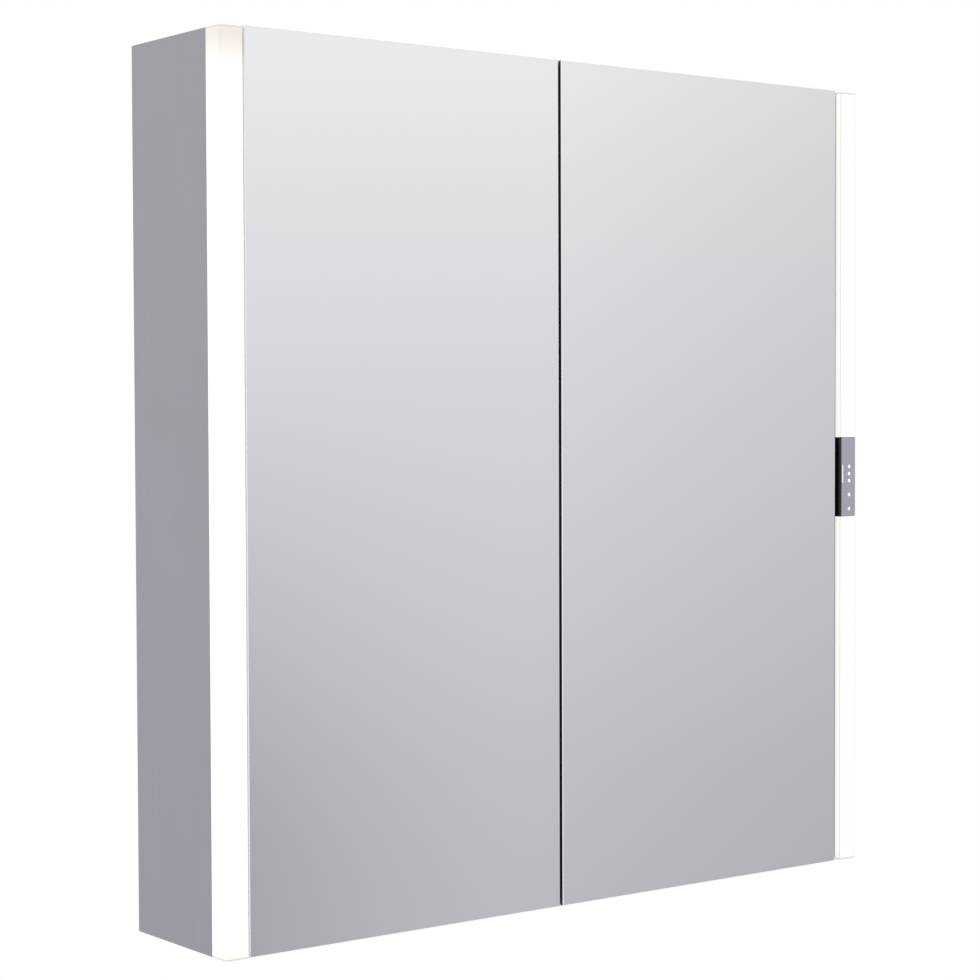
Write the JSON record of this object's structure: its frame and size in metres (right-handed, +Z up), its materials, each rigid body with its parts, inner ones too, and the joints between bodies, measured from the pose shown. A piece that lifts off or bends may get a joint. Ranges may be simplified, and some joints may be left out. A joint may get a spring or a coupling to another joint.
{
  "type": "medicine cabinet",
  "caption": "Wall-hung bathroom mirror cabinet with hinged mirror doors, a lit opal light column on each front corner, glass shelves inside and touch controls on the right.",
  "frame": {"origin": "centre of the pattern of four wall-screw holes, on the wall plane", "axes": "+X to the right as seen by a person at the mirror, +Y into the wall, +Z up; the doors face -Y"},
  "size_m": [0.7, 0.14, 0.7323],
  "materials": {
    "anodised_aluminium": "satin silver anodised",
    "partition_aluminium": "satin silver anodised",
    "mirror_glass": "silvered float glass, polished",
    "clear_glass": "clear float glass, ground edges",
    "opal_acrylic": "satin opal, lit from inside",
    "white_cap": "moulded, fine matt",
    "led_board_white": "white solder mask",
    "led_phosphor": "phosphor, lit",
    "black_gloss": "gloss",
    "grey_touch_plate": "metallic grey, satin",
    "lit_guide": "clear, lit from behind",
    "green_board": "solder mask",
    "socket_white": "gloss",
    "driver_white": "moulded, fine matt",
    "terminal_nylon": "natural nylon",
    "gland_nylon": "black nylon",
    "white_lead": "smooth PVC sheath",
    "grey_lead": "smooth PVC sheath",
    "black_rubber": "matt",
    "galvanised_steel": "zinc plated",
    "cast_zinc": "cast, tumbled",
    "hinge_steel": "nickel plated, satin",
    "polished_steel": "nickel plated, polished",
    "screw_steel": "zinc plated",
    "strike_steel": "nickel plated",
    "catch_plastic": "grey, fine matt",
    "core_board": "raw board"
  },
  "bodies": {
    "cabinet": {"left_side_panel": "anodised_aluminium", "right_side_panel": "anodised_aluminium", "left_inner_lining": "anodised_aluminium", "right_inner_lining": "anodised_aluminium", "top_panel": "anodised_aluminium", "bottom_panel": "anodised_aluminium", "back_panel": "anodised_aluminium", "duct_cover": "anodised_aluminium", "left_light_carrier": "anodised_aluminium", "right_light_carrier": "anodised_aluminium", "centre_partition": "partition_aluminium", "left_back_mirror": "mirror_glass", "right_back_mirror": "mirror_glass", "left_shelf_1": "clear_glass", "left_shelf_2": "clear_glass", "left_shelf_3": "clear_glass", "right_shelf_1": "clear_glass", "right_shelf_2": "clear_glass", "right_shelf_3": "clear_glass", "left_diffuser": "opal_acrylic", "right_diffuser_lower": "opal_acrylic", "right_diffuser_upper": "opal_acrylic", "end_caps": "white_cap", "led_boards": "led_board_white", "led_chips": "led_phosphor", "control_housing": "black_gloss", "control_face": "grey_touch_plate", "touch_light_guides": "lit_guide", "control_board": "green_board", "shaver_socket": "socket_white", "led_driver": "driver_white", "terminal_block": "terminal_nylon", "cable_gland": "gland_nylon", "led_harness": "white_lead", "mains_wiring": "grey_lead", "partition_seal": "black_rubber", "grommets": "black_rubber", "wall_spacers": "black_rubber", "wall_hooks": "galvanised_steel", "hangers": "cast_zinc", "hinge_brackets": "hinge_steel", "hinge_pins": "polished_steel", "shelf_pegs": "polished_steel", "carcass_screws": "screw_steel", "bracket_screws": "screw_steel", "magnetic_catches": "catch_plastic"},
    "left_door": {"left_door_mirror": "mirror_glass", "left_door_frame": "anodised_aluminium", "left_door_core": "core_board", "left_door_rear_mirror": "mirror_glass", "left_hinge_leaves": "hinge_steel", "left_leaf_screws": "screw_steel", "left_strike_plate": "strike_steel"},
    "right_door": {"right_door_mirror": "mirror_glass", "right_door_frame": "anodised_aluminium", "right_door_core": "core_board", "right_door_rear_mirror": "mirror_glass", "right_hinge_leaves": "hinge_steel", "right_leaf_screws": "screw_steel", "right_strike_plate": "strike_steel"}
  },
  "joints": [
    {"name": "left_door_hinge", "type": "hinge", "parent": "cabinet", "child": "left_door", "pos_m": [-0.315, -0.1294, -0.305], "axis": [0, 0, -1], "range_deg": [0, 105]},
    {"name": "right_door_hinge", "type": "hinge", "parent": "cabinet", "child": "right_door", "pos_m": [0.315, -0.1294, -0.305], "axis": [0, 0, 1], "range_deg": [0, 105]}
  ]
}
